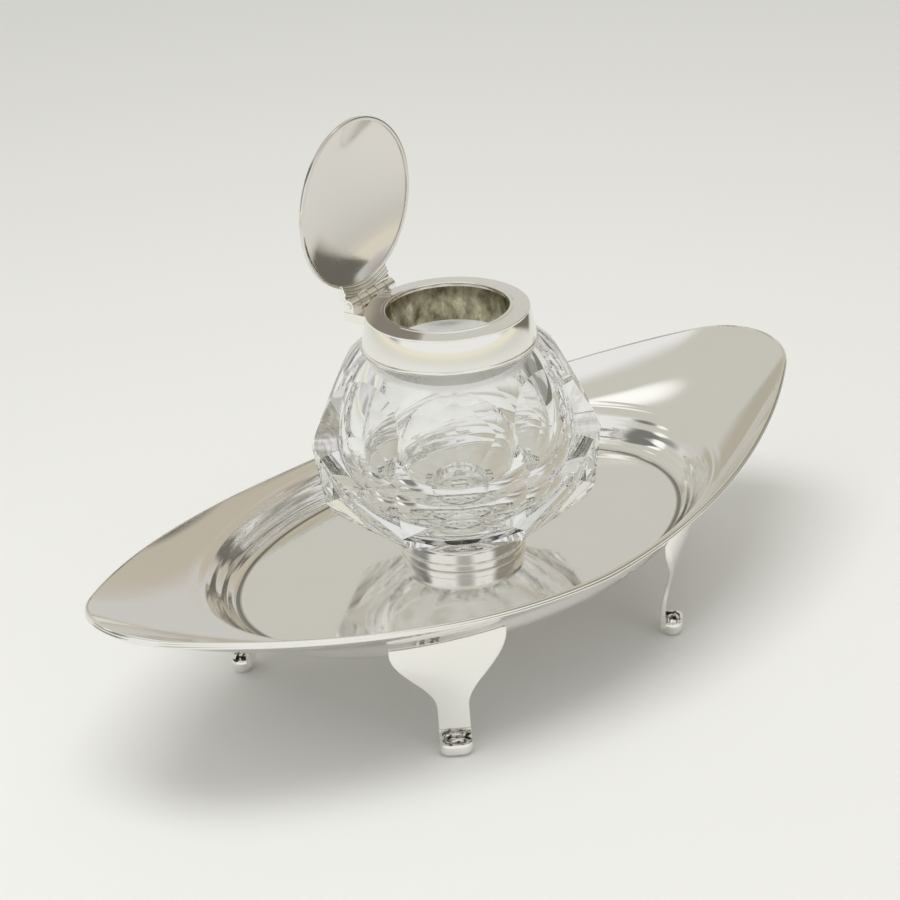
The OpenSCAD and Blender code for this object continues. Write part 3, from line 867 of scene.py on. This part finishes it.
def make_lid():
    base = high_of("collar_top_plate").z - LIP_PROUD + LID_GAP
    dome = (LID_R ** 2 + LID_RISE ** 2) / (2 * LID_RISE)
    middle = base + LID_RIM_H + LID_RISE - dome
    edge_angle = math.degrees(math.acos(LID_R / dome))
    top = arc((0, middle), dome, 90, edge_angle, 40)
    inner_r = LID_R - LID_RIM_W
    inner = dome - LID_WALL
    inner_angle = math.degrees(math.acos(inner_r / inner))
    under = arc((0, middle), inner, inner_angle, 90, 40)
    rim = [(LID_R - 0.02, base + LID_RIM_H - 0.05), (LID_R, base + LID_RIM_H - 0.25), (LID_R, base + 0.2),
           (LID_R - 0.06, base + 0.06), (LID_R - 0.2, base),
           (inner_r + 0.15, base), (inner_r + 0.04, base + 0.04), (inner_r, base + 0.12)]
    line = top + rim + under
    line[0] = (0, top[0][1])
    line[-1] = (0, under[-1][1])
    points, faces = lathe_grid(line, COLLAR_TURNS, closed=False)
    turn = opening()
    points = [turn @ Vector(p) for p in points]
    add_mesh("lid_dome", points, faces, "lid", ["lid"], "silver", SHADED_SILVER_LID, 30)


make_camera()
make_tray()
make_edge_wire()
make_ring()
for leg_name, leg_spot in TOE_SPOTS.items():
    make_leg(leg_name, leg_spot)
    make_toe(leg_name, leg_spot)
make_glass()
make_collar()
make_lid()


def dress_node(node, material, sharp=30.0):
    """Gives a CAD node that stays its material and smooth shading."""
    mesh = frame["nodes"][node].data
    mesh.materials.clear()
    mesh.materials.append(material)
    mesh.polygons.foreach_set("use_smooth", [True] * len(mesh.polygons))
    mesh.set_sharp_from_angle(angle=math.radians(sharp))


for kept in ("hinge_block", "hinge_pin", "lid_hinge_lug"):
    dress_node(kept, SILVER)
dress_node("neck_cement", PLASTER)


# Studio: a pale floor, one soft lamp above, and the room that metal and glass reflect.
# Distances are in metres from the middle
FLOOR_COLOUR = (0.87, 0.872, 0.855)
# Painted shade: the floor's colour gets a little darker outwards
OUTER_SHARE = 0.87
OUTER_FLOOR = (0.15, 0.6)
# and then takes the background's colour
FAR_OUT = (0.45, 1.2)
STUDIO_R = 12
STUDIO_CORNERS = 64
# What the silver and the glass see round them: azimuth from the camera's own, which is 0,
# elevation, radius and softness in degrees, brightness
ROOM = [
    (180, 12, 50, 20, (0.63, 0.61, 0.585)),
    (-155, 55, 36, 10, (0.61, 0.60, 0.545)),
    (-163, 14, 9, 5, (0.47, 0.44, 0.36)),
    (-95, 14, 24, 8, (0.32, 0.32, 0.31)),
    (88, 28, 26, 8, (0.30, 0.28, 0.24)),
    (137, 34, 24, 7, (0.54, 0.50, 0.41)),
    (118, 8, 18, 3, (0.17, 0.16, 0.135)),
    (-86, 41, 14, 5, (0.20, 0.20, 0.185)),
    (-110, 40, 6, 2, (1.1, 1.1, 1.07)),
    (0, 30, 12, 8, (0.45, 0.45, 0.435)),
    (-174, 56, 6, 3, (1.1, 1.1, 1.07)),
]
ROOM_BASE = (0.87, 0.87, 0.865)
BACKGROUND = (0.66, 0.665, 0.65)
FAR_FLOOR = (0.84, 0.80, 0.67)
# How much of the plain background the glass lets through instead of the room
CLEAR_SHARE = 0.25
# The floor ends in the dark beyond and to the right, as the silver sees it
DARK_BEYOND = (0.17, 0.24)
DARK_RIGHT = (0.22, 0.30)
DARK_FLOOR = (0.17, 0.16, 0.135)


def make_floor():
    """Flat pale floor; far out it is seen in the background's own colour."""
    material, tree, shader = new_material("studio_floor")
    shader.inputs["Roughness"].default_value = 0.7
    shader.inputs["Specular IOR Level"].default_value = 0.1
    places = add_node(tree, "ShaderNodeTexCoord").outputs["Object"]
    reach = length_of(tree, places)
    outer = tuple(c * OUTER_SHARE for c in FLOOR_COLOUR)
    # Painted shade: the floor's colour darkens outwards
    tint = mix_colours(tree, ramp_between(tree, reach, 0.0, 1.0, *OUTER_FLOOR), FLOOR_COLOUR, outer)
    tree.links.new(tint, shader.inputs["Base Color"])
    rays = add_node(tree, "ShaderNodeLightPath")
    glossy = rays.outputs["Is Glossy Ray"]
    seen = work_out(tree, "MAXIMUM", rays.outputs["Is Camera Ray"], glossy)
    seen = work_out(tree, "MAXIMUM", seen, rays.outputs["Is Transmission Ray"])
    far_share = work_out(tree, "MULTIPLY", ramp_between(tree, reach, 0.0, 1.0, *FAR_OUT), seen)
    beyond = (-math.sin(CAMERA_AZIMUTH), math.cos(CAMERA_AZIMUTH), 0)
    right = (math.cos(CAMERA_AZIMUTH), math.sin(CAMERA_AZIMUTH), 0)
    dark = glossy
    for aim, span in ((beyond, DARK_BEYOND), (right, DARK_RIGHT)):
        dark = work_out(tree, "MULTIPLY", dark, ramp_between(tree, along(tree, places, aim), 0.0, 1.0, *span))
    far_tint = mix_colours(tree, glossy, BACKGROUND, FAR_FLOOR)
    far = add_node(tree, "ShaderNodeEmission")
    tree.links.new(mix_colours(tree, dark, far_tint, DARK_FLOOR), far.inputs["Color"])
    blend = add_node(tree, "ShaderNodeMixShader")
    tree.links.new(work_out(tree, "MAXIMUM", far_share, dark), blend.inputs[0])
    tree.links.new(shader.outputs[0], blend.inputs[1])
    tree.links.new(far.outputs[0], blend.inputs[2])
    out = next(n for n in tree.nodes if n.type == "OUTPUT_MATERIAL")
    tree.links.new(blend.outputs[0], out.inputs["Surface"])
    angles = [TAU * k / STUDIO_CORNERS for k in range(STUDIO_CORNERS)]
    mesh = bpy.data.meshes.new("studio_floor")
    mesh.from_pydata([(math.cos(a) * STUDIO_R, math.sin(a) * STUDIO_R, 0) for a in angles], [],
                     [tuple(range(STUDIO_CORNERS))])
    mesh.materials.append(material)
    floor = bpy.data.objects.new("studio_floor", mesh)
    bpy.context.collection.objects.link(floor)


# The lamp: azimuth from the camera's and elevation in degrees, distance and size in metres, watts
LAMP_AZIMUTH = -30
LAMP_ELEVATION = 75
LAMP_DISTANCE = 1.25
LAMP_AIM = Vector((0, 0, 0.05))
LAMP_SIZE = (0.9, 0.5)
LAMP_POWER = 6.7


def make_lamp():
    """Broad soft lamp above, which gives the shadow and shows in no mirror."""
    back = direction(CAMERA_AZIMUTH + math.radians(LAMP_AZIMUTH), math.radians(LAMP_ELEVATION))
    data = bpy.data.lights.new("key", "AREA")
    data.shape = "RECTANGLE"
    data.size, data.size_y = LAMP_SIZE
    data.energy = LAMP_POWER
    lamp = bpy.data.objects.new("key", data)
    lamp.location = back * LAMP_DISTANCE + LAMP_AIM
    lamp.rotation_mode = "QUATERNION"
    lamp.rotation_quaternion = back.to_track_quat("Z", "Y")
    bpy.context.collection.objects.link(lamp)
    lamp.visible_camera = False
    lamp.visible_glossy = False
    lamp.visible_transmission = False


def make_world():
    """The room as soft round patches on a plain shade, with a plain background behind the object."""
    world = bpy.data.worlds.new("studio")
    bpy.context.scene.world = world
    world.use_nodes = True
    tree = world.node_tree
    shader = tree.nodes["Background"]
    shader.inputs["Strength"].default_value = 1.0
    places = add_node(tree, "ShaderNodeTexCoord").outputs["Generated"]
    colour = ROOM_BASE
    for azimuth, elevation, radius, soft, patch in ROOM:
        aim = direction(math.radians(azimuth) + CAMERA_AZIMUTH, math.radians(elevation))
        share = add_node(
            tree, "ShaderNodeMapRange", interpolation_type="SMOOTHSTEP",
            in_From_Min=math.cos(math.radians(radius + soft)),
            in_From_Max=math.cos(math.radians(max(0, radius - soft))))
        tree.links.new(along(tree, places, aim), share.inputs["Value"])
        colour = mix_colours(tree, share.outputs["Result"], colour, patch)
    rays = add_node(tree, "ShaderNodeLightPath")
    clear = work_out(tree, "MULTIPLY", rays.outputs["Is Transmission Ray"], CLEAR_SHARE)
    clear = work_out(tree, "ADD", clear, rays.outputs["Is Camera Ray"])
    tree.links.new(mix_colours(tree, clear, colour, BACKGROUND), shader.inputs["Color"])


make_floor()
make_lamp()
make_world()
bpy.context.scene.view_settings.view_transform = "Standard"
# Enough bounces for glass that is mirrored in silver
cycles = bpy.context.scene.cycles
cycles.max_bounces = 20
cycles.glossy_bounces = 16
cycles.transmission_bounces = 18
